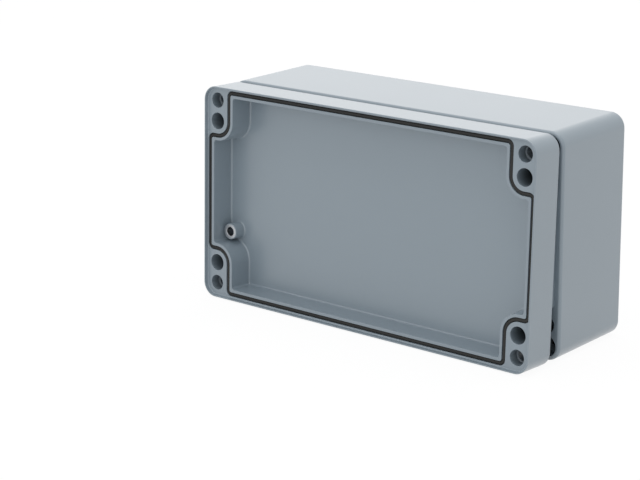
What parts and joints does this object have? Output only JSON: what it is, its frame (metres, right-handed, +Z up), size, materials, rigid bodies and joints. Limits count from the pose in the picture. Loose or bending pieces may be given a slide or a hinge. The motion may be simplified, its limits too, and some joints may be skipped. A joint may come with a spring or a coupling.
{
  "type": "aluminium enclosure",
  "caption": "Die-cast aluminium enclosure taken apart: a deep box stands behind its shallow lid, whose open inside and sealed rim with stepped corner posts face forward.",
  "frame": {"origin": "under the middle of the whole, on the surface that both halves stand on", "axes": "+X along the long sides, +Y from the lid's open side to the body's back, +Z up"},
  "size_m": [0.22, 0.086, 0.1207],
  "materials": {
    "powder_coat": "satin",
    "seal_rubber": "matte"
  },
  "bodies": {
    "root": {"body_casting": "powder_coat", "lid_casting": "powder_coat", "lid_seal": "seal_rubber"}
  },
  "joints": []
}
